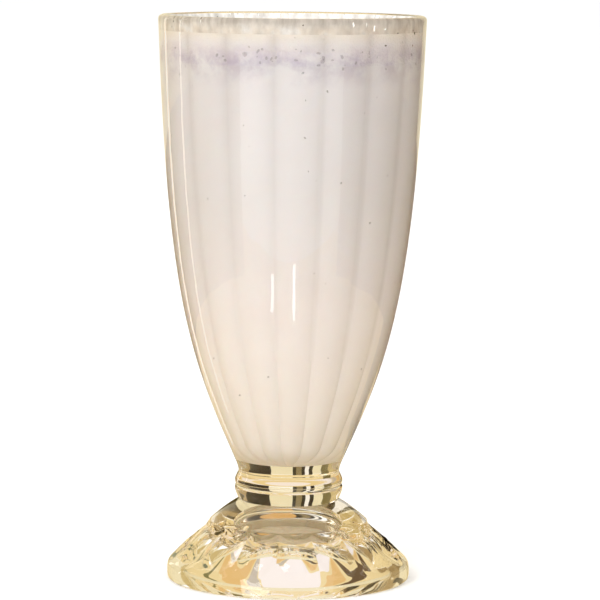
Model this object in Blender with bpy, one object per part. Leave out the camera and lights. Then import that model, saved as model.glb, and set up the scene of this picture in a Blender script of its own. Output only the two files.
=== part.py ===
"""A lemon milkshake in a footed soda-fountain glass.

One pressed glass holds two layers: the drink, and the froth that floats on it. The bowl is smooth
outside and fluted inside, a collar of two beads rings the neck, and the spreading foot is scooped
all round and hollow underneath. Metres, +Z up, with the origin at the middle of the plane that the
foot rests on.
"""

import math

import bmesh
import bpy
from mathutils import Matrix, Vector

# The glass, outside: heights are above the table, and outline points are (radius, height).
HEIGHT = 0.176
RIM_RADIUS = 0.0415
BOWL_BASE_HEIGHT = 0.038
BOWL_BASE_RADIUS = 0.0171
BOWL_OUTLINE = (
    Vector((BOWL_BASE_RADIUS, BOWL_BASE_HEIGHT)),
    Vector((0.0303, 0.0679)),
    Vector((0.0384, 0.0862)),
    Vector((RIM_RADIUS, HEIGHT)),
)
NECK_OUTLINE = (
    Vector((BOWL_BASE_RADIUS, BOWL_BASE_HEIGHT)),
    Vector((0.0164, 0.0364)),
    Vector((0.0159, 0.0354)),
    Vector((0.01575, 0.0338)),
)
GROOVE = Vector((0.0163, 0.0294))  # between the collar's round upper bead and its flatter lower one
COLLAR_END = Vector((0.0156, 0.0248))
BEAD_SWELL = 0.00075
BEAD_LEANS = (1.61, 0.53)  # over 1 the bead is fullest in its lower half, under 1 in its upper half
FOOT_OUTLINE = (
    COLLAR_END,
    Vector((0.0222, 0.0210)),
    Vector((0.0282, 0.0150)),
    Vector((0.0373, 0.0055)),
)
FOOT_RADIUS = 0.0380
FOOT_EDGE_HEIGHT = 0.0030
RESTING_RING = (0.0334, 0.0372)  # inner and outer radius of the flat that meets the table
HOLLOW_OUTLINE = (  # the underside's hollow, a low dome whose wall follows the foot's outside
    Vector((RESTING_RING[0], 0.0)),
    Vector((0.0290, 0.0090)),
    Vector((0.0260, 0.0165)),
    Vector((0.0, 0.0165)),
)

# The glass, inside.
WALL_AT_RIM = 0.0027
WALL_AT_FLOOR = 0.0040
LIP_RADIUS = WALL_AT_RIM / 2
FLOOR = 0.0385
FLOOR_CURVE = 0.0060  # height over which the floor curves up into the wall
FLOOR_POWER = 2.5

# Flutes: the bowl's are grooves that stop short of the rim, and the foot's are thumb-shaped scoops.
FLUTES = 16  # of each
BOWL_PHASE = math.radians(14.5)  # where the bowl has a ridge
BOWL_FLUTE_DEPTH = 0.0010
BOWL_FLUTE_TOP = 0.1720
SCOOP_PHASE = math.radians(16.375)  # where the foot has a ridge
SCOOP_DEPTH = 0.0020
SCOOP_WIDTH = 0.0130
SCOOP_START = 0.46  # share of the foot's outline at a scoop's square upper end
SCOOP_LEDGE = 0.10  # share over which it reaches its depth
SCOOP_RUNOUT = 0.74  # share from which its round lower end runs out

# The contents, with the clearance that keeps touching solids apart.
GAP = 0.0003
DRINK_TOP = 0.1621
FROTH_TOP = 0.1708
FROTH_RIM_RISE = 0.0004

GLASS_SEGMENTS = 96
CONTENTS_SEGMENTS = 48


def clear_scene():
    for old in list(bpy.data.objects):
        bpy.data.objects.remove(old, do_unlink=True)


def material(name, colour, roughness, transmission=0.0):
    made = bpy.data.materials.new(name)
    made.use_nodes = True
    shader = made.node_tree.nodes["Principled BSDF"]
    shader.inputs["Base Color"].default_value = (*colour, 1.0)
    shader.inputs["Roughness"].default_value = roughness
    shader.inputs["Metallic"].default_value = 0.0
    shader.inputs["Transmission Weight"].default_value = transmission
    made.diffuse_color = (*colour, 1.0)
    return made


def on_curve(outline, share):
    """The point at a share of the way along a cubic curve given by its four control points."""
    start, first, second, end = outline
    rest = 1 - share
    return rest**3 * start + 3 * rest**2 * share * first + 3 * rest * share**2 * second + share**3 * end


def curve_normal(outline, share):
    """The unit normal of that curve, turned to the side away from the glass's axis and table."""
    step = 0.001
    along = on_curve(outline, share + step) - on_curve(outline, share - step)
    normal = Vector((-along.y, along.x)).normalized()
    return normal if normal.x > 0 else -normal


def bowl_radius(height):
    """Outer radius of the bowl at a height, found by halving, as the outline only rises."""
    low, high = 0.0, 1.0
    for _ in range(30):
        middle = (low + high) / 2
        if on_curve(BOWL_OUTLINE, middle).y < height:
            low = middle
        else:
            high = middle
    return on_curve(BOWL_OUTLINE, low).x


def from_flute_middle(angle, phase):
    """0 along the middle of a flute, and 1 along the ridges on both sides of it."""
    turn = (angle - phase) * FLUTES / math.tau
    return abs(2 * (turn % 1.0) - 1)


def plain_ring(radius, height):
    return lambda angle: (radius, height)


def cavity_ring(height, inset=0.0):
    """A ring of the bowl's inside: round lobes that meet in ridges, drawn in by an inset."""
    climb = min(1.0, max(0.0, (height - FLOOR - inset) / FLOOR_CURVE))
    closing = (1 - (1 - climb) ** FLOOR_POWER) ** (1 / FLOOR_POWER)
    rise = (height - FLOOR) / (HEIGHT - FLOOR)
    wall = WALL_AT_FLOOR + (WALL_AT_RIM - WALL_AT_FLOOR) * rise
    radius = (bowl_radius(height) - wall - inset) * closing
    depth = BOWL_FLUTE_DEPTH * closing if height <= BOWL_FLUTE_TOP else 0.0
    return lambda angle: (radius - depth * from_flute_middle(angle, BOWL_PHASE) ** 2, height)


def floor_heights(inset=0.0):
    return [FLOOR + inset + FLOOR_CURVE * climb for climb in (0.02, 0.1, 0.3, 0.6)]


def heights_between(low, high, count):
    return [low + (high - low) * step / (count - 1) for step in range(count)]


def lip_rings():
    """The rounded lip, a half circle from the inside over the top to the outside."""
    middle = RIM_RADIUS - LIP_RADIUS
    level = HEIGHT - LIP_RADIUS
    turns = [math.radians(degrees) for degrees in (180, 125, 90, 55, 0)]
    return [plain_ring(middle + LIP_RADIUS * math.cos(t), level + LIP_RADIUS * math.sin(t)) for t in turns]


def bowl_rings():
    """The bowl's outside, from under the lip down to its base."""
    shares = (0.84, 0.68, 0.52, 0.38, 0.26, 0.13, 0.0)
    return [plain_ring(*on_curve(BOWL_OUTLINE, share)) for share in shares]


def collar_rings():
    """The neck under the bowl, the round bead, the groove and the flatter bead."""
    rings = [plain_ring(*on_curve(NECK_OUTLINE, share)) for share in (0.4, 0.7, 1.0)]
    beads = (
        (NECK_OUTLINE[-1], GROOVE, BEAD_LEANS[0], (0.2, 0.43, 0.65, 0.85)),
        (GROOVE, COLLAR_END, BEAD_LEANS[1], (0.1, 0.28, 0.5, 0.78)),
    )
    for start, end, lean, shares in beads:
        for share in shares:
            point = start.lerp(end, share)
            swell = BEAD_SWELL * math.sin(math.pi * share**lean) ** 0.8
            rings.append(plain_ring(point.x + swell, point.y))
        rings.append(plain_ring(*end))
    return rings


def scoop_depth(share, radius, angle):
    """How far a scoop sinks the foot: narrow and round at its lower end, where lands part the scoops."""
    half_pitch = math.pi * radius / FLUTES
    aside = from_flute_middle(angle, SCOOP_PHASE) * half_pitch / (SCOOP_WIDTH / 2)
    down = max(0.0, (share - SCOOP_RUNOUT) / (1 - SCOOP_RUNOUT))
    ledge = min(1.0, max(0.0, (share - SCOOP_START) / SCOOP_LEDGE))
    return SCOOP_DEPTH * max(0.0, 1 - aside**2 - down**2) * ledge


def foot_ring(share):
    point = on_curve(FOOT_OUTLINE, share)
    normal = curve_normal(FOOT_OUTLINE, share)

    def place(angle):
        sunk = point - scoop_depth(share, point.x, angle) * normal
        return sunk.x, sunk.y

    return place


def foot_rings():
    """The smooth shoulder, the scoops from their ledges to their ends, and the plain sill."""
    shares = (0.14, 0.28, 0.4, 0.46, 0.51, 0.56, 0.66, 0.76, 0.85, 0.93, 1.0)
    return [foot_ring(share) for share in shares]


def edge_rings():
    """The upright edge below the scoops, down to the flat that the glass rests on."""
    inner, outer = RESTING_RING
    return [
        plain_ring(FOOT_RADIUS - 0.0002, FOOT_EDGE_HEIGHT + 0.0016),
        plain_ring(FOOT_RADIUS, FOOT_EDGE_HEIGHT),
        plain_ring(FOOT_RADIUS - 0.0001, 0.0007),
        plain_ring(outer, 0.0),
        plain_ring(inner, 0.0),
    ]


def hollow_rings():
    """The underside's dome, from the resting flat up to near its middle."""
    return [plain_ring(*on_curve(HOLLOW_OUTLINE, share)) for share in (0.2, 0.38, 0.54, 0.7, 0.88)]


def settle(points, place):
    for point in points:
        angle = math.atan2(point.co.y, point.co.x)
        radius, height = place(angle)
        point.co = Vector((radius * math.cos(angle), radius * math.sin(angle), height))


def turned_solid(name, rings, segments, finish):
    """A closed body drawn ring by ring from one end to the other, with a fan of faces at each end."""
    mesh = bmesh.new()
    turn = Matrix.Rotation(BOWL_PHASE, 4, "Z")
    circle = bmesh.ops.create_circle(mesh, cap_ends=True, radius=1.0, segments=segments, matrix=turn)
    settle(circle["verts"], rings[0])
    first_cap = list(mesh.faces)
    loop = list(mesh.edges)
    for place in rings[1:]:
        drawn = bmesh.ops.extrude_edge_only(mesh, edges=loop)["geom"]
        points = {item for item in drawn if isinstance(item, bmesh.types.BMVert)}
        loop = [e for e in drawn if isinstance(e, bmesh.types.BMEdge) and points.issuperset(e.verts)]
        settle(points, place)
    last_cap = bmesh.ops.edgeloop_fill(mesh, edges=loop)["faces"]
    bmesh.ops.poke(mesh, faces=first_cap + last_cap)
    bmesh.ops.recalc_face_normals(mesh, faces=mesh.faces)
    data = bpy.data.meshes.new(name)
    mesh.to_mesh(data)
    mesh.free()
    data.shade_smooth()
    data.set_sharp_from_angle(angle=math.radians(35))
    data.materials.append(finish)
    made = bpy.data.objects.new(name, data)
    bpy.context.scene.collection.objects.link(made)
    return made


def glass():
    """The glass's whole skin: the bowl's floor, up the inside, over the lip, down to the hollow."""
    inside = floor_heights() + heights_between(FLOOR + FLOOR_CURVE, BOWL_FLUTE_TOP, 8)
    rings = [cavity_ring(height) for height in inside]
    rings += lip_rings() + bowl_rings() + collar_rings() + foot_rings() + edge_rings() + hollow_rings()
    finish = material("pressed glass", (0.93, 0.90, 0.80), 0.03, transmission=1.0)
    return turned_solid("glass", rings, GLASS_SEGMENTS, finish)


def milkshake():
    heights = floor_heights(GAP) + heights_between(FLOOR + FLOOR_CURVE + GAP, DRINK_TOP - GAP, 8)
    rings = [cavity_ring(height, GAP) for height in heights]
    finish = material("milkshake", (0.88, 0.82, 0.76), 0.35)
    return turned_solid("milkshake", rings, CONTENTS_SEGMENTS, finish)


def froth():
    """The froth, level on top and drawn up a little where it clings to the wall."""
    edge = cavity_ring(FROTH_TOP + FROTH_RIM_RISE, GAP)
    level = [
        plain_ring(edge(BOWL_PHASE)[0] - 0.0015, FROTH_TOP + FROTH_RIM_RISE / 2),
        plain_ring(edge(BOWL_PHASE)[0] - 0.0040, FROTH_TOP),
    ]
    rings = [cavity_ring(DRINK_TOP, GAP), edge] + level
    finish = material("froth", (0.90, 0.87, 0.82), 0.5)
    return turned_solid("froth", rings, CONTENTS_SEGMENTS, finish)


clear_scene()
glass()
milkshake()
froth()
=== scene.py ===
"""Looks of a lemon milkshake in a footed soda-fountain glass, dressed on its CAD frame.

The glass is drawn as one section and spun, then its flutes and scoops are pressed in. The drink, the
froth and the film of milk that clings above them are all taken off the glass's own inner wall, so
that they fit every flute. Bubbles and flecks are modelled once and copied to their places.
"""

import math
import random

import bmesh
import bpy
from mathutils import Matrix, Vector, noise


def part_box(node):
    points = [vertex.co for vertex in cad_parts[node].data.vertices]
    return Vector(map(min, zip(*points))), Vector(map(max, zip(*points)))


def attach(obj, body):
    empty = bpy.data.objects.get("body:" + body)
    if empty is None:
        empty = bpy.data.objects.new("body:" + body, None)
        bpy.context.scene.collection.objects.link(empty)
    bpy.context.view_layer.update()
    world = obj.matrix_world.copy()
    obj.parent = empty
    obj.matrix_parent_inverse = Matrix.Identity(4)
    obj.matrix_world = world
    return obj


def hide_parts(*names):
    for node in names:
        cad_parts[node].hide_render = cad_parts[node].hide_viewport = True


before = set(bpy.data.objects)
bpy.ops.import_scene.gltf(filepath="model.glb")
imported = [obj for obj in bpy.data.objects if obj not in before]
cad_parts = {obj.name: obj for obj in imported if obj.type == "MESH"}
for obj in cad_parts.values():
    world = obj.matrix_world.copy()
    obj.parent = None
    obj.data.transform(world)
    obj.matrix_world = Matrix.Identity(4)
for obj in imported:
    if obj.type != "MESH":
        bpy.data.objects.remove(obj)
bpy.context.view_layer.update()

# Sizes of the frame, in metres.
FROTH_RIM_RISE = 0.0004  # how far the froth climbs where it clings to the wall
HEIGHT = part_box("glass")[1].z
DRINK_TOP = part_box("milkshake")[1].z
FROTH_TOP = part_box("froth")[1].z - FROTH_RIM_RISE

# The glass's section, as in its construction: outline points are (radius, height).
RIM_RADIUS = 0.0415
BOWL_OUTLINE = (
    Vector((0.0171, 0.0380)),
    Vector((0.0303, 0.0679)),
    Vector((0.0384, 0.0862)),
    Vector((RIM_RADIUS, HEIGHT)),
)
LIP_SHARE = 0.94  # share of the bowl's outline at which the round lip takes over
NECK_OUTLINE = (
    BOWL_OUTLINE[0],
    Vector((0.0164, 0.0364)),
    Vector((0.0159, 0.0354)),
    Vector((0.01575, 0.0338)),
)
GROOVE = Vector((0.0163, 0.0294))  # between the collar's round bead and the flatter one below it
COLLAR_END = Vector((0.0156, 0.0248))
BEAD_SWELL = 0.00075
BEAD_LEANS = (1.61, 0.53)  # over 1 a bead is fullest low down, under 1 high up
BEAD_FULLNESS = 0.8  # under 1 a bead is fuller than a sine's arch
FOOT_OUTLINE = (
    COLLAR_END,
    Vector((0.0222, 0.0210)),
    Vector((0.0282, 0.0150)),
    Vector((0.0373, 0.0055)),
)
FOOT_RADIUS = 0.0380
FOOT_EDGE = ((0.0378, 0.0046), (FOOT_RADIUS, 0.0032), (FOOT_RADIUS, 0.0014), (0.0378, 0.0004))
RESTING_RING = (0.0334, 0.0372)  # inner and outer radius of the flat that the foot rests on
HOLLOW_OUTLINE = (  # the hollow under the foot, a low dome
    Vector((RESTING_RING[0], 0.0)),
    Vector((0.0290, 0.0090)),
    Vector((0.0260, 0.0165)),
    Vector((0.0, 0.0165)),
)
WALL_AT_RIM = 0.0027
WALL_AT_FLOOR = 0.0040
LIP_RADIUS = WALL_AT_RIM / 2
FLOOR = 0.0385
FLOOR_CURVE = 0.0060  # height over which the bowl's floor curves up into its wall
FLOOR_POWER = 2.5

FLUTES = 16
BOWL_PHASE = math.radians(14.5)
BOWL_FLUTE_DEPTH = 0.0010
FLUTE_FADE = (0.1715, 0.1745)  # heights between which the bowl's flutes die out
SCOOP_PHASE = math.radians(16.375)
SCOOP_DEPTH = 0.0020
SCOOP_WIDTH = 0.0130
SCOOP_START = 0.46  # share of the foot's outline at a scoop's square upper end
SCOOP_LEDGE = 0.10  # share over which it reaches its depth
SCOOP_RUNOUT = 0.74  # share from which its round lower end runs out

# The drink, the froth and what clings above them.
INTO_WALL = 0.0002  # how far drink and froth reach into the glass, so that no air shows between
LEVEL_RINGS = (0.8, 0.55, 0.3, 0.1)  # rings of a level end, as shares of its radius
BRIM_RINGS = (0.99, 0.975, 0.955)  # rings over which the froth's top falls from the wall
TOP_RINGS = 44  # on the rest of the froth's top
FROTH_REACH = 0.0378  # radius at which the froth's top becomes level
FROTH_FADE = 0.0040  # width over which its lumps and pits grow from there
FROTH_SWELL = 0.0007
FROTH_PIT = 0.0006
FILM_LAP = 0.0004  # how far the film reaches down behind the froth
FILM_LIP = 0.0006  # how far below the top of the glass it ends
FILM_INTO_WALL = 0.0001
FILM_THICKNESS = 0.00022
BUBBLES = 420
BUBBLE_SMALLEST = 0.0002
BUBBLE_SPREAD = 0.0011  # how much larger the largest is
BUBBLE_FLATNESS = 0.8
BUBBLES_BY_WALL = 0.45  # share of them that cling to the wall
BUBBLE_REACH = 0.0372  # radius up to which these come
BUBBLE_SCATTER = 0.0370  # radius within which the others lie
RIDGE_SHADE_SHARPNESS = 4.0  # of the painted shade lines along the glass's ridges on the drink
FLECK_FLATNESS = 0.45
FLECK_DEPTH = 0.00010  # how far the middle of a fleck lies inside the wall's surface
MILK_GLOW = (0.003, 0.002, 0.0015)  # how far red, green and blue light spread in milk

# What the glass mirrors and bends, in metres from its axis or above the table.
NECK_CARDS_AT = 0.055
WALLS_AT = 1.5
FAR_WALLS_AT = 3.0
CEILING_AT = 3.0
ON_TABLE = 0.0001

# The camera, in metres, millimetres of lens and degrees, and how often light may turn in the glass.
CAMERA_PLACE = (0.00305, -1.01815, 0.20363)
CAMERA_LENS = 197.1
CAMERA_TILT = 6.5125
CAMERA_ROLL = 0.5
LIGHT_TURNS = 64

COLUMNS = 192  # of faces, all round the glass
HAIR = 1e-5  # less than any real distance here
SEAM = 1e-6  # points closer than this are one
ON_OUTLINE = 0.0002  # a point closer than this to the foot's outline is on it

# Flecks that stand out near the front: bearing in degrees round from +X, height and half width.
VIOLET_FLECKS = (
    (-125.0, 0.1647, 0.0006), (-122.1, 0.1645, 0.0004), (-110.9, 0.1653, 0.0009), (-104.9, 0.1662, 0.0007),
    (-103.2, 0.1668, 0.0006), (-105.4, 0.1645, 0.0004), (-101.4, 0.1642, 0.0006), (-99.3, 0.1639, 0.0006),
    (-96.8, 0.1644, 0.0007), (-98.8, 0.1633, 0.0004), (-88.2, 0.1637, 0.0006), (-88.2, 0.1669, 0.0004),
    (-86.1, 0.1664, 0.0004), (-78.5, 0.1658, 0.0006), (-76.1, 0.1643, 0.0010), (-76.5, 0.1634, 0.0009),
    (-78.4, 0.1622, 0.0006), (-67.6, 0.1646, 0.0007), (-57.7, 0.1660, 0.0004), (-53.5, 0.1645, 0.0004),
    (-49.3, 0.1644, 0.0004), (-33.2, 0.1687, 0.0004), (-66.1, 0.1622, 0.0004),
)
DARK_FLECKS = (
    (-163.5, 0.1743, 0.0005), (-153.1, 0.1742, 0.0004), (-91.4, 0.1744, 0.0004), (-85.3, 0.1740, 0.0003),
    (-78.6, 0.1710, 0.0003), (-50.7, 0.1743, 0.0004), (-44.8, 0.1678, 0.0004), (-22.9, 0.1711, 0.0005),
    (-134.7, 0.1710, 0.0002), (-125.3, 0.1710, 0.0003), (-104.9, 0.1707, 0.0002), (-88.7, 0.1704, 0.0003),
)
RUST_FLECKS = ((-24.2, 0.1675, 0.0004),)


def held(value):
    """A value kept between 0 and 1."""
    return min(1.0, max(0.0, value))


def on_curve(outline, share):
    """The point of a Bezier outline at a share of its way."""
    start, first, second, end = outline
    rest = 1 - share
    return rest**3 * start + 3 * rest**2 * share * first + 3 * rest * share**2 * second + share**3 * end


def share_at(outline, height):
    """How far along an outline a height lies; its heights only rise, or only fall."""
    rising = outline[-1].y > outline[0].y
    low, high = 0.0, 1.0
    for _ in range(24):
        middle = (low + high) / 2
        if (on_curve(outline, middle).y < height) == rising:
            low = middle
        else:
            high = middle
    return low


def bowl_radius(height):
    return on_curve(BOWL_OUTLINE, share_at(BOWL_OUTLINE, height)).x


def floor_closing(height):
    """1 up the bowl's wall, falling to 0 at its floor in a rounded curve."""
    climb = held((height - FLOOR) / FLOOR_CURVE)
    return (1 - (1 - climb) ** FLOOR_POWER) ** (1 / FLOOR_POWER)


def cavity_radius(height):
    """The bowl's inner radius, along the flutes' middles."""
    rise = (height - FLOOR) / (HEIGHT - FLOOR)
    wall = WALL_AT_FLOOR + (WALL_AT_RIM - WALL_AT_FLOOR) * rise
    return (bowl_radius(height) - wall) * floor_closing(height)


def steps(low, high, count):
    return [low + (high - low) * step / count for step in range(count + 1)]


def arc(centre, radius, start, end, count):
    turns = [math.radians(turn) for turn in steps(start, end, count)]
    return [Vector((centre[0] + radius * math.cos(t), centre[1] + radius * math.sin(t))) for t in turns]


def inside_section():
    """From the middle of the bowl's floor up to the lip."""
    curve = [FLOOR + FLOOR_CURVE * (1 - math.cos(math.pi / 2 * step)) for step in steps(0, 1, 16)]
    wall = steps(FLOOR + FLOOR_CURVE, HEIGHT - LIP_RADIUS, 60)[1:]
    return [Vector((cavity_radius(height), height)) for height in curve + wall]


def collar_section():
    """Down the neck under the bowl, over the round bead, the groove and the flatter bead below it."""
    points = [on_curve(NECK_OUTLINE, share) for share in steps(0, 1, 16)[1:]]
    for start, end, lean in ((points[-1], GROOVE, BEAD_LEANS[0]), (GROOVE, COLLAR_END, BEAD_LEANS[1])):
        for share in steps(0, 1, 16)[1:]:
            swell = BEAD_SWELL * math.sin(math.pi * share**lean) ** BEAD_FULLNESS if share < 1 else 0.0
            points.append(start.lerp(end, share) + Vector((swell, 0)))
    return points


def glass_section():
    """One closed outline: floor, inner wall, lip, bowl, collar, foot, resting flat and hollow."""
    lip = arc((RIM_RADIUS - LIP_RADIUS, HEIGHT - LIP_RADIUS), LIP_RADIUS, 180, 0, 12)[1:]
    bowl = [on_curve(BOWL_OUTLINE, share) for share in steps(LIP_SHARE, 0, 60)]
    foot = [on_curve(FOOT_OUTLINE, share) for share in steps(0, 1, 100)[1:]]
    edge = [Vector(point) for point in FOOT_EDGE]
    flat = [Vector((radius, 0.0)) for radius in reversed(RESTING_RING)]
    hollow = [on_curve(HOLLOW_OUTLINE, share) for share in steps(0, 1, 40)[1:]]
    return inside_section() + lip + bowl + collar_section() + foot + edge + flat + hollow


def active():
    return bpy.context.view_layer.objects.active


def apply_modifier(piece, kind, **settings):
    modifier = piece.modifiers.new(kind.lower(), kind)
    for name, value in settings.items():
        setattr(modifier, name, value)
    bpy.ops.object.modifier_apply(modifier=modifier.name)


def spin_section(name, points):
    """Draws an outline by extruding a vertex along it, and spins it about the glass's axis."""
    bpy.ops.object.select_all(action="DESELECT")
    bpy.ops.mesh.primitive_plane_add(size=0.001, location=(points[0].x, 0, points[0].y))
    piece = active()
    piece.name = name
    bpy.ops.object.mode_set(mode="EDIT")
    bpy.ops.mesh.merge(type="CENTER")
    for here, there in zip(points, points[1:]):
        move = there - here
        bpy.ops.mesh.extrude_vertices_move(TRANSFORM_OT_translate={"value": (move.x, 0, move.y)})
    bpy.ops.mesh.select_all(action="SELECT")
    bpy.ops.mesh.spin(steps=COLUMNS, angle=math.tau, center=(0, 0, 0), axis=(0, 0, 1))
    bpy.ops.mesh.select_all(action="SELECT")
    bpy.ops.mesh.remove_doubles(threshold=SEAM)
    bpy.ops.mesh.normals_make_consistent(inside=False)
    bpy.ops.object.mode_set(mode="OBJECT")
    piece.rotation_euler.z = BOWL_PHASE
    bpy.ops.object.transform_apply(location=True, rotation=True, scale=True)
    return piece


def from_flute_middle(x, y, phase):
    """0 along the middle of a flute, and 1 along the ridges on both sides of it."""
    turn = (math.atan2(y, x) - phase) * FLUTES / math.tau
    return abs(2 * (turn % 1.0) - 1)


def is_inner_wall(point):
    """True for what lies above the bowl's floor and nearer the axis than the middle of its wall."""
    if point.z <= FLOOR - HAIR:
        return False
    return math.hypot(point.x, point.y) < bowl_radius(point.z) - WALL_AT_RIM / 2 - HAIR


def bowl_flute_weight(point):
    """1 along the ridges between the bowl's flutes, fading out by the lip and on the floor."""
    if not is_inner_wall(point):
        return 0.0
    low, high = FLUTE_FADE
    fade = held((high - point.z) / (high - low))
    return from_flute_middle(point.x, point.y, BOWL_PHASE) ** 2 * fade * floor_closing(point.z)


def foot_scoop_weight(point):
    """1 where a scoop is deepest, 0 on the shoulder, the edge and the lands between the scoops' ends."""
    radius = math.hypot(point.x, point.y)
    top, bottom = FOOT_OUTLINE[0], FOOT_OUTLINE[-1]
    if not bottom.y < point.z < top.y:
        return 0.0
    share = share_at(FOOT_OUTLINE, point.z)
    if share < SCOOP_START or abs(on_curve(FOOT_OUTLINE, share).x - radius) > ON_OUTLINE:
        return 0.0
    aside = from_flute_middle(point.x, point.y, SCOOP_PHASE) * math.pi * radius / FLUTES / (SCOOP_WIDTH / 2)
    down = max(0.0, (share - SCOOP_RUNOUT) / (1 - SCOOP_RUNOUT))
    ledge = min(1.0, (share - SCOOP_START) / SCOOP_LEDGE)
    return max(0.0, 1 - aside**2 - down**2) * ledge


def press(piece, name, weigh, depth):
    """Presses a relief into a piece along its normals, by the weight of each of its points."""
    group = piece.vertex_groups.new(name=name)
    for vertex in piece.data.vertices:
        weight = weigh(vertex.co)
        if weight > 0:
            group.add([vertex.index], weight, "REPLACE")
    apply_modifier(piece, "DISPLACE", strength=depth, mid_level=0.0, vertex_group=name)
    piece.vertex_groups.remove(piece.vertex_groups[name])


def make_glass():
    piece = spin_section("soda_glass", glass_section())
    press(piece, "bowl flutes", bowl_flute_weight, BOWL_FLUTE_DEPTH)
    press(piece, "foot scoops", foot_scoop_weight, -SCOOP_DEPTH)
    return piece


def select_faces(piece, wanted):
    """In edit mode, selects the faces whose middle is wanted."""
    bpy.ops.mesh.select_all(action="DESELECT")
    mesh = bmesh.from_edit_mesh(piece.data)
    for face in mesh.faces:
        if wanted(face.calc_center_median()):
            face.select_set(True)
    mesh.select_flush(True)
    bmesh.update_edit_mesh(piece.data)


def select_open_edges(piece, height):
    """In edit mode, selects the open edges at a height."""
    bpy.ops.mesh.select_all(action="DESELECT")
    mesh = bmesh.from_edit_mesh(piece.data)
    for edge in mesh.edges:
        if edge.is_boundary and all(abs(end.co.z - height) < HAIR for end in edge.verts):
            edge.select_set(True)
    bmesh.update_edit_mesh(piece.data)


def cut_off(height, upwards):
    """In edit mode, cuts the whole piece level and drops what lies above, or below."""
    bpy.ops.mesh.select_all(action="SELECT")
    bpy.ops.mesh.bisect(plane_co=(0, 0, height), plane_no=(0, 0, 1 if upwards else -1), clear_outer=True)


def lining(glass, name, low, high, into_wall):
    """Copies the bowl's inner wall between two levels, pushed into the glass, and stays in edit mode."""
    bpy.ops.object.select_all(action="DESELECT")
    glass.select_set(True)
    bpy.context.view_layer.objects.active = glass
    bpy.ops.object.duplicate()
    piece = active()
    piece.name = name
    piece.data.name = name
    bpy.ops.object.mode_set(mode="EDIT")
    bpy.ops.mesh.select_mode(type="FACE")
    select_faces(piece, lambda middle: not is_inner_wall(middle))
    bpy.ops.mesh.delete(type="FACE")
    bpy.ops.mesh.select_all(action="SELECT")
    bpy.ops.mesh.flip_normals()
    bpy.ops.transform.shrink_fatten(value=into_wall)
    cut_off(high, True)
    if low is not None:
        cut_off(low, False)
    bpy.ops.mesh.select_mode(type="EDGE")
    return piece


def draw_in(shares, drop=0.0):
    """In edit mode, draws the selected ring towards the axis in steps, down by a drop in all."""
    here = 1.0
    for share in shares:
        bpy.ops.mesh.extrude_edges_move(TRANSFORM_OT_translate={"value": (0, 0, -drop / len(shares))})
        bpy.ops.transform.resize(value=(share / here, share / here, 1), center_override=(0, 0, 0))
        here = share


def make_drink(glass):
    """The drink, from the bowl's floor to the froth."""
    piece = lining(glass, "milkshake_body", None, DRINK_TOP, INTO_WALL)
    select_open_edges(piece, DRINK_TOP)
    draw_in(LEVEL_RINGS)
    bpy.ops.mesh.merge(type="CENTER")
    finish_solid(piece)
    return piece


def make_froth(glass):
    """The froth, drawn up where it clings to the wall, with a soft lumpy top."""
    brim = FROTH_TOP + FROTH_RIM_RISE
    piece = lining(glass, "froth_layer", DRINK_TOP, brim, INTO_WALL)
    select_open_edges(piece, DRINK_TOP)
    draw_in(LEVEL_RINGS)
    bpy.ops.mesh.merge(type="CENTER")
    select_open_edges(piece, brim)
    draw_in(BRIM_RINGS, FROTH_RIM_RISE)
    draw_in([share / BRIM_RINGS[-1] for share in steps(0.93, 0.02, TOP_RINGS)])
    bpy.ops.mesh.merge(type="CENTER")
    finish_solid(piece)
    press(piece, "swells", froth_swell, FROTH_SWELL)
    press(piece, "pits", froth_pit, -FROTH_PIT)
    return piece


def finish_solid(piece):
    """Closes a piece's seams, turns its faces outwards and leaves edit mode."""
    bpy.ops.mesh.select_all(action="SELECT")
    bpy.ops.mesh.remove_doubles(threshold=SEAM)
    bpy.ops.mesh.normals_make_consistent(inside=False)
    bpy.ops.object.mode_set(mode="OBJECT")


def on_froth(point):
    """1 on the froth's top, fading out where it meets the wall and 0 on its side and underside."""
    if point.z < FROTH_TOP - HAIR:
        return 0.0
    return held((FROTH_REACH - math.hypot(point.x, point.y)) / FROTH_FADE)


def froth_swell(point):
    """Lumps some 12 mm and 4 mm across."""
    lumps = noise.noise(point * 80) + 0.5 * noise.noise(point * 240)
    return on_froth(point) * held(0.35 + 0.6 * lumps)


def froth_pit(point):
    """Burst bubbles, 1 to 3 mm across, in clusters some 17 mm across."""
    near = noise.voronoi(point * 420)[0][0]
    cluster = noise.noise(point * 60 + Vector((3, 5, 7)))
    return on_froth(point) * held(0.55 - near) * held(0.4 + 1.5 * cluster)


def make_film(glass):
    """What the froth left on the wall above it: a film that is torn, more so towards the lip."""
    piece = lining(glass, "milk_film", FROTH_TOP - FILM_LAP, HEIGHT - FILM_LIP, FILM_INTO_WALL)
    bpy.ops.mesh.select_all(action="SELECT")
    bpy.ops.mesh.subdivide(number_cuts=4)
    select_faces(piece, film_is_torn)
    bpy.ops.mesh.delete(type="FACE")
    bpy.ops.mesh.select_all(action="SELECT")
    bpy.ops.mesh.vertices_smooth(factor=0.4, repeat=1)
    bpy.ops.object.mode_set(mode="OBJECT")
    apply_modifier(piece, "SOLIDIFY", thickness=FILM_THICKNESS, offset=-1.0)
    return piece


def film_is_torn(point):
    """True in the film's gaps: runs some 2 mm wide and 4 mm tall, more of them towards the lip."""
    rise = (point.z - FROTH_TOP) / (HEIGHT - FROTH_TOP)
    runs = Vector((point.x * 450, point.y * 450, point.z * 220))
    return noise.noise(runs) + 0.5 * noise.noise(runs * 2.7) > 0.80 - 0.35 * rise


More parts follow.
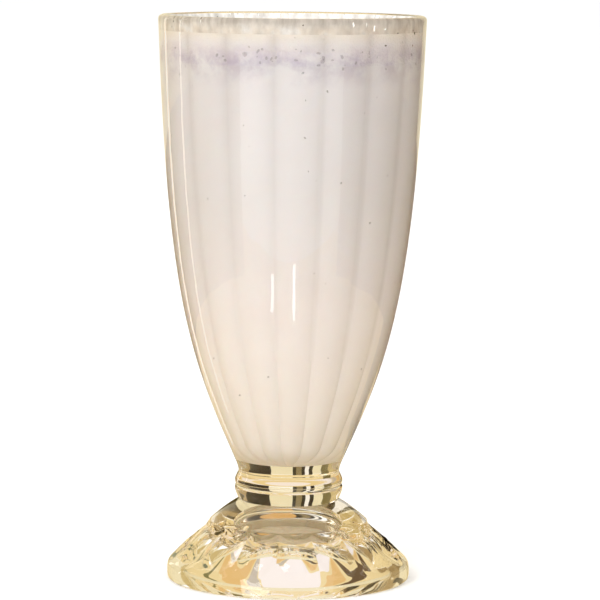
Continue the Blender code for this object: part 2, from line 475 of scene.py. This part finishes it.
def copy_to(model, places):
    """Copies a model to each place, given as a matrix, and joins the copies into one piece."""
    bpy.ops.object.select_all(action="DESELECT")
    for place in places:
        copy = model.copy()
        copy.data = model.data.copy()
        copy.data.transform(place)
        bpy.context.scene.collection.objects.link(copy)
        copy.select_set(True)
    bpy.data.objects.remove(model, do_unlink=True)
    bpy.context.view_layer.objects.active = bpy.context.selected_objects[0]
    bpy.ops.object.join()
    return active()


def make_bubbles():
    """Domes of thin froth that stand on the top, nearly half of them by the wall."""
    bpy.ops.object.select_all(action="DESELECT")
    bpy.ops.mesh.primitive_uv_sphere_add(segments=10, ring_count=6, radius=1.0, location=(0, 0, 0))
    dome = active()
    bpy.ops.object.mode_set(mode="EDIT")
    bpy.ops.mesh.select_all(action="SELECT")
    bpy.ops.mesh.bisect(plane_co=(0, 0, -0.55), plane_no=(0, 0, -1), clear_outer=True, use_fill=True)
    bpy.ops.object.mode_set(mode="OBJECT")
    bpy.ops.object.shade_smooth()
    places = []
    chance = random.Random(11)
    for _ in range(BUBBLES):
        size = BUBBLE_SMALLEST + BUBBLE_SPREAD * chance.random() ** 3
        by_wall = chance.random() < BUBBLES_BY_WALL
        reach = BUBBLE_REACH - size if by_wall else BUBBLE_SCATTER * math.sqrt(chance.random())
        turn = chance.uniform(0, math.tau)
        rise = FROTH_TOP + 0.0002 + 0.2 * size
        spot = Matrix.Translation((reach * math.cos(turn), reach * math.sin(turn), rise))
        places.append(spot @ Matrix.Diagonal((size, size, BUBBLE_FLATNESS * size, 1)))
    piece = copy_to(dome, places)
    piece.name = piece.data.name = "froth_bubbles"
    return piece


def wall_spot(bearing, height, size, depth):
    """Where a flat fleck lies against the bowl's inner wall: a matrix that stands it on the wall."""
    turn = math.radians(bearing)
    ridge = BOWL_FLUTE_DEPTH * from_flute_middle(math.cos(turn), math.sin(turn), BOWL_PHASE) ** 2
    reach = cavity_radius(height) - ridge + depth
    spot = Matrix.Translation((reach * math.cos(turn), reach * math.sin(turn), height))
    return spot @ Matrix.Rotation(turn, 4, "Z") @ Matrix.Diagonal((FLECK_FLATNESS * size, size, size, 1))


def make_flecks(name, spots, seed):
    """Flat crumbs, each turned and stretched its own way."""
    bpy.ops.object.select_all(action="DESELECT")
    bpy.ops.mesh.primitive_ico_sphere_add(subdivisions=1, radius=1.0, location=(0, 0, 0))
    crumb = active()
    bpy.ops.object.mode_set(mode="EDIT")
    bpy.ops.mesh.select_all(action="SELECT")
    bpy.ops.transform.vertex_random(offset=0.25, uniform=0.3, seed=seed)
    bpy.ops.object.mode_set(mode="OBJECT")
    chance = random.Random(seed)
    places = []
    for bearing, height, size in spots:
        spin = Matrix.Rotation(chance.uniform(0, math.tau), 4, "X")
        stretch = Matrix.Diagonal((1, chance.uniform(0.8, 1.4), chance.uniform(0.6, 1.0), 1))
        places.append(wall_spot(bearing, height, size, FLECK_DEPTH) @ spin @ stretch)
    piece = copy_to(crumb, places)
    piece.name = piece.data.name = name
    return piece


def scattered(seed, count, low, high, smallest, largest):
    """Spots all round the bowl, crowded towards the higher level."""
    chance = random.Random(seed)
    spots = []
    for _ in range(count):
        height = high - (high - low) * chance.random() ** 1.6
        spots.append((chance.uniform(-180, 180), height, chance.uniform(smallest, largest)))
    return spots


def sheet_colour(code):
    """An sRGB hex colour as linear values."""
    parts = [int(code[place:place + 2], 16) / 255 for place in (1, 3, 5)]
    return [part / 12.92 if part <= 0.04045 else ((part + 0.055) / 1.055) ** 2.4 for part in parts] + [1.0]


def new_material(name):
    material = bpy.data.materials.new(name)
    material.use_nodes = True
    material.node_tree.nodes.clear()
    return material


def add(material, kind, inputs=None, settings=None, stops=()):
    """Adds a node with its own settings, and a colour ramp's stops as (place, colour). Its inputs, by
    name or number, are given as values or linked where they are other nodes' outputs."""
    tree = material.node_tree
    node = tree.nodes.new(kind)
    for key, value in (settings or {}).items():
        setattr(node, key, value)
    for key, value in (inputs or {}).items():
        if isinstance(value, bpy.types.NodeSocket):
            tree.links.new(value, node.inputs[key])
        else:
            node.inputs[key].default_value = value
    if stops:
        elements = node.color_ramp.elements
        while len(elements) < len(stops):
            elements.new(0.5)
        for element, (place, colour) in zip(elements, stops):
            element.position = place
            element.color = sheet_colour(colour)
    return node


def height_share(material, place, low, high):
    """0 at the low level and 1 at the high one."""
    height = add(material, "ShaderNodeSeparateXYZ", {"Vector": place}).outputs["Z"]
    values = {"Value": height, "From Min": low, "From Max": high}
    return add(material, "ShaderNodeMapRange", values).outputs["Result"]


def tinted(material, colour, factor, other, amount):
    """A colour mixed with another one by a factor, up to an amount."""
    share = add(material, "ShaderNodeMath", {0: factor, 1: amount}, {"operation": "MULTIPLY"}).outputs[0]
    colours = {"Factor": share, 6: colour, 7: sheet_colour(other)}
    return add(material, "ShaderNodeMix", colours, {"data_type": "RGBA"}).outputs[2]


def pressed_glass():
    """Soda-lime glass pressed by a plunger into an iron mould: clear, a little straw-coloured where it
    is thick, with the slow ripples of a pressed surface and no sharp edge anywhere."""
    material = new_material("pressed soda-lime glass")
    place = add(material, "ShaderNodeTexCoord").outputs["Object"]
    ripples = add(  # 11 mm ripples
        material, "ShaderNodeTexNoise", {"Vector": place, "Scale": 90.0, "Detail": 1.0, "Roughness": 0.4},
    ).outputs["Fac"]
    bump = add(material, "ShaderNodeBump", {"Strength": 0.12, "Distance": 0.0006, "Height": ripples})
    shader = add(material, "ShaderNodeBsdfPrincipled", {
        "Base Color": sheet_colour("#FFFFFF"), "Roughness": 0.01, "IOR": 1.52, "Transmission Weight": 1.0,
        "Normal": bump.outputs["Normal"],
    })
    straw = {"Color": sheet_colour("#F2DFA8"), "Density": 6.5}
    tint = add(material, "ShaderNodeVolumeAbsorption", straw).outputs["Volume"]
    add(material, "ShaderNodeOutputMaterial", {"Surface": shader.outputs["BSDF"], "Volume": tint})
    return material


def painted_ridge_shade(material, place):
    """Painted shade: 1 along the glass's inner ridges and 0 between them, for darkening the drink there."""
    parts = add(material, "ShaderNodeSeparateXYZ", {"Vector": place}).outputs
    turn = {0: parts["Y"], 1: parts["X"]}
    shade_line = add(material, "ShaderNodeMath", turn, {"operation": "ARCTAN2"}).outputs[0]
    for operation, value in (
        ("SUBTRACT", BOWL_PHASE),
        ("MULTIPLY", FLUTES / math.tau),
        ("FRACT", 0.0),
        ("MULTIPLY", 2.0),
        ("SUBTRACT", 1.0),
        ("ABSOLUTE", 0.0),
        ("POWER", RIDGE_SHADE_SHARPNESS),
    ):
        shade_line = add(material, "ShaderNodeMath", {0: shade_line, 1: value}, {"operation": operation}).outputs[0]
    return shade_line


def violet_cast(material, place, middle, spread):
    """How much of the violet-grey cast of thinned foam there is: patches in a level band."""
    rising = height_share(material, place, middle - spread, middle)
    falling = height_share(material, place, middle + spread, middle)
    band = add(material, "ShaderNodeMath", {0: rising, 1: falling}, {"operation": "MULTIPLY"}).outputs[0]
    patches = add(  # 8 mm patches
        material, "ShaderNodeTexNoise", {"Vector": place, "Scale": 130.0, "Detail": 4.0, "Roughness": 0.65},
    ).outputs["Fac"]
    values = {"Value": patches, "From Min": 0.42, "From Max": 0.6422}
    patches = add(material, "ShaderNodeMapRange", values).outputs["Result"]
    return add(material, "ShaderNodeMath", {0: band, 1: patches}, {"operation": "MULTIPLY"}).outputs[0]


def milk_shake():
    """Whole milk and ice cream beaten together: opaque and satin, with painted light in its colour: cool
    and faintly grey towards the froth, lighter and warmer towards the bottom as if lit from the table
    below, with a light mottling of air and a painted shade along the glass's ridges."""
    material = new_material("whole-milk lemon shake")
    place = add(material, "ShaderNodeTexCoord").outputs["Object"]
    depth = height_share(material, place, 0.045, DRINK_TOP)
    # painted light: the drink runs from a warm near-white at the bottom to a cool grey-white at the top,
    # for warm light thrown up from the table and cool light from above
    colour = add(
        material, "ShaderNodeValToRGB", {"Fac": depth},
        stops=((0.0, "#FFFEFC"), (0.35, "#FAF8FB"), (0.65, "#F1F2F6"), (1.0, "#F2F3F9")),
    ).outputs["Color"]
    clouds = add(  # 14 mm clouds
        material, "ShaderNodeTexNoise", {"Vector": place, "Scale": 70.0, "Detail": 3.0},
    ).outputs["Fac"]
    colour = tinted(material, colour, clouds, "#D9CFCB", 0.2)
    # painted shade: the drink darkened towards grey along the glass's ridges, more so higher up
    upwards = add(material, "ShaderNodeMath", {0: depth, 1: 0.1}, {"operation": "ADD"}).outputs[0]
    ridge_shade = {0: painted_ridge_shade(material, place), 1: upwards}
    ridge_shade = add(material, "ShaderNodeMath", ridge_shade, {"operation": "MULTIPLY"}).outputs[0]
    colour = tinted(material, colour, ridge_shade, "#9D9491", 0.16)
    violet = violet_cast(material, place, DRINK_TOP, 0.007)
    colour = tinted(material, colour, violet, "#B4A8BE", 0.5)
    grain = add(  # 0.7 mm air bubbles
        material, "ShaderNodeTexNoise", {"Vector": place, "Scale": 1400.0, "Detail": 2.0},
    ).outputs["Fac"]
    bump = add(material, "ShaderNodeBump", {"Strength": 0.25, "Distance": 0.0001, "Height": grain})
    shader = add(material, "ShaderNodeBsdfPrincipled", {
        "Base Color": colour, "Roughness": 0.4, "IOR": 1.35, "Normal": bump.outputs["Normal"],
        "Subsurface Weight": 0.2, "Subsurface Radius": MILK_GLOW, "Subsurface Scale": 1.0,
    })
    add(material, "ShaderNodeOutputMaterial", {"Surface": shader.outputs["BSDF"]})
    return material


def milk_foam():
    """Beaten milk foam: matt and cream above, with a cool violet-grey cast where it thins into the
    drink, and pricked all over with fine bubbles."""
    material = new_material("beaten milk foam")
    place = add(material, "ShaderNodeTexCoord").outputs["Object"]
    depth = height_share(material, place, DRINK_TOP, FROTH_TOP)
    colour = add(
        material, "ShaderNodeValToRGB", {"Fac": depth},
        stops=((0.0, "#F2F3F9"), (0.45, "#F4F3F9"), (0.7, "#FAFAFE"), (1.0, "#FFFCF6")),
    ).outputs["Color"]
    clouds = add(  # 4.5 mm clouds
        material, "ShaderNodeTexNoise", {"Vector": place, "Scale": 220.0, "Detail": 4.0},
    ).outputs["Fac"]
    colour = tinted(material, colour, clouds, "#D8CCD2", 0.2)
    # painted shade: the foam darkened towards grey along the glass's ridges
    colour = tinted(material, colour, painted_ridge_shade(material, place), "#9D9491", 0.25)
    violet = violet_cast(material, place, DRINK_TOP + 0.001, 0.006)
    colour = tinted(material, colour, violet, "#B0A2C2", 0.6)
    bubbles = add(  # 0.7 mm bubbles
        material, "ShaderNodeTexVoronoi", {"Vector": place, "Scale": 1500.0},
    ).outputs["Distance"]
    bump = add(material, "ShaderNodeBump", {"Strength": 0.6, "Distance": 0.0002, "Height": bubbles})
    shader = add(material, "ShaderNodeBsdfPrincipled", {
        "Base Color": colour, "Roughness": 0.6, "IOR": 1.33, "Normal": bump.outputs["Normal"],
        "Subsurface Weight": 0.2, "Subsurface Radius": MILK_GLOW, "Subsurface Scale": 1.0,
    })
    add(material, "ShaderNodeOutputMaterial", {"Surface": shader.outputs["BSDF"]})
    return material


def dried_milk():
    """Milk left to drain on glass: a beige skin with cream patches, thin, grey and clear at the lip."""
    material = new_material("drained milk film")
    place = add(material, "ShaderNodeTexCoord").outputs["Object"]
    runs = add(material, "ShaderNodeMapping", {"Vector": place, "Scale": (1.0, 1.0, 0.5)}).outputs["Vector"]
    streaks = add(  # runs 2.4 mm wide
        material, "ShaderNodeTexNoise", {"Vector": runs, "Scale": 420.0, "Detail": 3.0},
    ).outputs["Fac"]
    spots = add(  # 6 mm patches
        material, "ShaderNodeTexNoise", {"Vector": place, "Scale": 160.0, "Detail": 4.0},
    ).outputs["Fac"]
    thick = add(
        material, "ShaderNodeValToRGB", {"Fac": spots},
        stops=((0.35, "#E4DCD3"), (0.5, "#F8F3EC"), (0.62, "#FFFFFF")),
    ).outputs["Color"]
    thin = add(
        material, "ShaderNodeValToRGB", {"Fac": streaks},
        stops=((0.3, "#CFCAC4"), (0.5, "#DFDCD8"), (0.7, "#ECE9E5")),
    ).outputs["Color"]
    rise = height_share(material, place, HEIGHT - 0.0036, HEIGHT - 0.0016)
    colours = {"Factor": rise, 6: thick, 7: thin}
    colour = add(material, "ShaderNodeMix", colours, {"data_type": "RGBA"}).outputs[2]
    values = {"Value": streaks, "From Min": 0.3, "From Max": 0.6, "To Min": 0.72, "To Max": 0.97}
    cover = add(material, "ShaderNodeMapRange", values).outputs["Result"]
    shader = add(material, "ShaderNodeBsdfPrincipled", {
        "Base Color": colour, "Roughness": 0.35, "IOR": 1.35, "Alpha": cover,
    })
    add(material, "ShaderNodeOutputMaterial", {"Surface": shader.outputs["BSDF"]})
    return material


def bubble_skin():
    """A bubble's skin of milk: thin, wet and half clear."""
    material = new_material("wet bubble skin")
    place = add(material, "ShaderNodeTexCoord").outputs["Object"]
    patches = add(  # 1.1 mm patches
        material, "ShaderNodeTexNoise", {"Vector": place, "Scale": 900.0},
    ).outputs["Fac"]
    colour = add(
        material, "ShaderNodeValToRGB", {"Fac": patches}, stops=((0.35, "#E9DFD2"), (0.65, "#FFFBF2")),
    ).outputs["Color"]
    shader = add(material, "ShaderNodeBsdfPrincipled", {
        "Base Color": colour, "Roughness": 0.12, "IOR": 1.33, "Alpha": 0.7,
    })
    add(material, "ShaderNodeOutputMaterial", {"Surface": shader.outputs["BSDF"]})
    return material


def crumb_skin(name, dark, light, cover):
    """A matt crumb under a skin of milk: mottled dark and light, and only as clear as its cover says."""
    material = new_material(name)
    place = add(material, "ShaderNodeTexCoord").outputs["Object"]
    patches = add(  # 0.4 mm patches
        material, "ShaderNodeTexNoise", {"Vector": place, "Scale": 2500.0},
    ).outputs["Fac"]
    colour = add(
        material, "ShaderNodeValToRGB", {"Fac": patches}, stops=((0.35, dark), (0.65, light)),
    ).outputs["Color"]
    shader = add(material, "ShaderNodeBsdfPrincipled", {
        "Base Color": colour, "Roughness": 0.5, "Alpha": cover,
    })
    add(material, "ShaderNodeOutputMaterial", {"Surface": shader.outputs["BSDF"]})
    return material


def dress(piece, material, node=None):
    """Gives a piece its material, puts it on the one body and hides the part that it stands in for."""
    piece.data.materials.clear()
    piece.data.materials.append(material)
    bpy.ops.object.select_all(action="DESELECT")
    piece.select_set(True)
    bpy.context.view_layer.objects.active = piece
    bpy.ops.object.shade_smooth_by_angle(angle=math.radians(40))
    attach(piece, "root")
    if node:
        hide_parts(node)


def card(name, colour, strength, corners, mirrored=True, seen_through=True):
    """A plain glowing card that only shows in the glass: mirrored by it, seen through it or both."""
    bpy.ops.object.select_all(action="DESELECT")
    bpy.ops.mesh.primitive_plane_add(size=1.0)
    panel = active()
    panel.name = name
    for vertex, corner in zip(panel.data.vertices, corners):
        vertex.co = corner
    glow = new_material(name)
    light = add(glow, "ShaderNodeEmission", {"Color": sheet_colour(colour), "Strength": strength})
    add(glow, "ShaderNodeOutputMaterial", {"Surface": light.outputs["Emission"]})
    panel.data.materials.append(glow)
    panel.visible_camera = False
    panel.visible_diffuse = False
    panel.visible_shadow = False
    panel.visible_glossy = mirrored
    panel.visible_transmission = seen_through


def around(bearing, distance, height):
    """A point by its bearing from straight behind the glass, its distance and its height."""
    turn = math.radians(bearing)
    return Vector((distance * math.sin(turn), distance * math.cos(turn), height))


def standing_card(name, colour, strength, bearings, profile, **shown):
    """A card between two bearings, along a profile of distances and heights."""
    for part, (low, high) in enumerate(zip(profile, profile[1:])):
        corners = [around(bearing, *place) for place in (low, high) for bearing in bearings]
        card(f"{name}_{part}", colour, strength, corners, **shown)


def floor_card(name, colour, strength, start, end, near, far, **shown):
    """A card that lies on the table in a sector between two bearings and two distances."""
    profile = ((near, ON_TABLE), (far, ON_TABLE))
    for bearing in range(start, end, 15):
        standing_card(f"{name}_{bearing}", colour, strength, (bearing, bearing + 15), profile, **shown)


def neck_cards():
    """Furniture close behind the neck, which turns it left for right: dark, tan, white and olive."""
    top = 0.085
    for name, colour, left, right, low, high in (
        ("dark_chair", "#1A100A", 0.0082, 0.0320, 0.0225, top),
        ("dark_seat", "#1A100A", 0.0320, 0.0900, 0.0225, 0.034),
        ("dark_rail", "#2A2410", -0.00324, -0.00180, 0.0225, top),
        ("tan_panel", "#8C7A52", -0.00578, -0.00324, 0.0225, top),
        ("black_rail", "#120C08", -0.00743, -0.00578, 0.0225, top),
        ("white_panel", "#FFF8EC", -0.00963, -0.00743, 0.0225, top),
        ("black_post", "#120C08", -0.01206, -0.00963, 0.0225, top),
        ("olive_panel", "#6E6030", -0.03240, -0.01980, 0.0150, top),
    ):
        card(name, colour, 1.0, [Vector((x, NECK_CARDS_AT, z)) for z in (low, high) for x in (left, right)])


def walls():
    """Warm walls, higher at the sides, and beyond them what only shows as a reflection."""
    for name, colour, start, end, top in (
        ("left_wall", "#CDB376", -130, -40, 2.4),
        ("back_wall", "#F2E4BC", -40, 30, 0.85),
        ("right_wall", "#AA8E5E", 30, 130, 2.4),
    ):
        for bearing in range(start, end, 10):
            profile = ((WALLS_AT, 0), (WALLS_AT, top))
            standing_card(f"{name}_{bearing}", colour, 1.0, (bearing, bearing + 10), profile)
    for bearing in range(-180, 180, 30):
        standing_card(
            f"far_wall_{bearing}", "#E8D6A6", 0.9, (bearing, bearing + 30),
            ((FAR_WALLS_AT, 0), (FAR_WALLS_AT, CEILING_AT)), seen_through=False,
        )
    ends = (-FAR_WALLS_AT, FAR_WALLS_AT)
    corners = [Vector((x, y, CEILING_AT)) for y in ends for x in ends]
    card("ceiling", "#F0E2BC", 0.9, corners, seen_through=False)
    leaning = ((0.10, 0.001), (0.90, 0.60))
    standing_card("pale_post", "#FFF2DC", 2.3, (-48, -43.5), leaning, seen_through=False)
    standing_card("thin_pale_post", "#FFF6E8", 3.2, (-74.5, -72.5), leaning, seen_through=False)
    standing_card("tan_screen", "#70542C", 1.0, (36, 62), leaning, seen_through=False)
    standing_card("amber_lamp_glow", "#D9A860", 1.0, (-5, 24), ((0.8, 0.48), (0.8, 1.6)))


def table_cards():
    """What the foot stands on and mirrors: the pale table and its patches, the floor and two windows.

    The cards on the table lie in thin layers: the warm table lowest, and the black patch over the rest.
    """
    floor_card("pale_table", "#FFF0E4", 1.8, 90, 270, 0.055, 0.5, mirrored=False)
    floor_card("gold_floor", "#8A6A20", 1.0, -135, 0, 0.28, 2.4, seen_through=False)
    floor_card("tan_floor", "#6E4C20", 1.0, 0, 135, 0.28, 2.4, seen_through=False)
    standing_card("black_patch", "#0E0906", 1.0, (28, 68), ((0.0350, 0.00012), (0.0400, 0.00012)))
    for name, near, far in (
        (
            "left_window_streak",
            ((-0.0628, -0.1811), (-0.0554, -0.1833)), ((-0.0847, -0.2563), (-0.0749, -0.2591)),
        ),
        (
            "right_window_streak",
            ((0.0093, -0.1783), (0.0176, -0.1778)), ((0.0118, -0.2914), (0.0242, -0.2908)),
        ),
    ):
        card(name, "#FFFFFF", 8.0, [Vector((*place, 0.001)) for place in near + far], seen_through=False)
    corners = [Vector((x, y, 0.00006)) for y in (-0.3, 0.3) for x in (-0.3, 0.3)]
    card("warm_table", "#F2D9A0", 1.0, corners)
    for name, colour, far, near in (  # under the foot, from a far end to a near one
        ("pink_patch", "#FFF3EC", (-0.008, 0.010), (-0.008, 0.010)),
        ("grey_patch", "#C9BBA8", (-0.0125, -0.0085), (-0.0125, -0.0085)),
        ("left_amber_patch", "#E9BE7C", (-0.020, -0.0135), (-0.020, -0.0135)),
        ("right_amber_patch", "#E9BE7C", (0.011, 0.0125), (0.012, 0.019)),
        ("brown_patch", "#66503A", (0.0140, 0.0190), (0.0215, 0.0262)),
        ("olive_patch", "#7A7448", (-0.0245, -0.0225), (-0.0265, -0.0245)),
        ("green_patch", "#7A7C60", (-0.0330, -0.0318), (-0.0350, -0.0330)),
    ):
        corners = [Vector((x, y, ON_TABLE)) for ends, y in ((near, -0.034), (far, 0.036)) for x in ends]
        card(name, colour, 1.0, corners)


def stage():
    """A white floor and a white sky, one soft lamp, the room that shows in the glass, and the camera."""
    scene = bpy.context.scene
    bpy.ops.object.select_all(action="DESELECT")
    bpy.ops.mesh.primitive_circle_add(vertices=64, radius=12.0, fill_type="NGON", location=(0, 0, 0))
    floor = active()
    floor.name = "floor"
    paint = new_material("matt white paint")
    shader = add(paint, "ShaderNodeBsdfPrincipled", {"Base Color": (0.93, 0.93, 0.93, 1), "Roughness": 0.9})
    add(paint, "ShaderNodeOutputMaterial", {"Surface": shader.outputs["BSDF"]})
    floor.data.materials.append(paint)
    world = bpy.data.worlds.new("studio")
    world.use_nodes = True
    sky = world.node_tree.nodes["Background"].inputs
    sky["Color"].default_value = (1, 1, 1, 1)
    sky["Strength"].default_value = 1.2
    world.cycles_visibility.glossy = False
    scene.world = world
    lamp = bpy.data.lights.new("key", "AREA")
    lamp.shape = "RECTANGLE"
    lamp.size, lamp.size_y, lamp.energy = 0.7, 0.9, 10.0
    key = bpy.data.objects.new("key", lamp)
    key.location = (-0.8, -0.95, 0.9)
    aim = Vector((0, 0, 0.1)) - Vector(key.location)
    key.rotation_euler = aim.to_track_quat("-Z", "Y").to_euler()
    key.visible_glossy = False
    scene.collection.objects.link(key)
    neck_cards()
    walls()
    table_cards()
    data = bpy.data.cameras.new("camera")
    data.lens = CAMERA_LENS
    data.sensor_width = 36.0
    data.clip_end = 100
    camera = bpy.data.objects.new("camera", data)
    scene.collection.objects.link(camera)
    camera.location = CAMERA_PLACE
    tilt = Matrix.Rotation(math.radians(90 - CAMERA_TILT), 4, "X")
    camera.rotation_euler = (tilt @ Matrix.Rotation(math.radians(CAMERA_ROLL), 4, "Z")).to_euler()
    scene.camera = camera
    scene.view_settings.view_transform = "Standard"
    scene.cycles.max_bounces = LIGHT_TURNS
    scene.cycles.transmission_bounces = LIGHT_TURNS
    scene.cycles.glossy_bounces = LIGHT_TURNS


def main():
    bpy.ops.object.select_all(action="DESELECT")
    glass = make_glass()
    dress(make_drink(glass), milk_shake(), "milkshake")
    dress(make_froth(glass), milk_foam(), "froth")
    dress(make_film(glass), dried_milk())
    dress(glass, pressed_glass(), "glass")
    dress(make_bubbles(), bubble_skin())
    for name, spots, strays, seed, skin, slot in (
        (  # soft violet smudges where pulp hangs under the froth
            "violet_flecks", VIOLET_FLECKS, (3, 40, 0.1595, 0.1675, 0.0003, 0.0006), 5,
            ("lemon pulp under milk", "#7D7088", "#A89DB2", 0.26), "froth",
        ),
        (  # near black specks, sharp against the milk
            "dark_flecks", DARK_FLECKS, (7, 14, 0.167, 0.1745, 0.0002, 0.0003), 9,
            ("toasted crumbs", "#2B241C", "#6A5B48", 0.85), "froth",
        ),
        (  # a few warm brown specks
            "rust_flecks", RUST_FLECKS, (13, 8, 0.160, 0.1740, 0.0002, 0.0003), 15,
            ("zest crumbs", "#6B2E22", "#9C5A3C", 0.85), "froth",
        ),
        (  # faint grey specks deep in the drink
            "pale_flecks", (), (17, 70, 0.060, 0.160, 0.0002, 0.0005), 19,
            ("grated zest", "#B3A9A6", "#C9C0BC", 0.35), "milkshake",
        ),
    ):
        flecks = make_flecks(name, list(spots) + scattered(*strays), seed)
        dress(flecks, crumb_skin(*skin))


main()
stage()
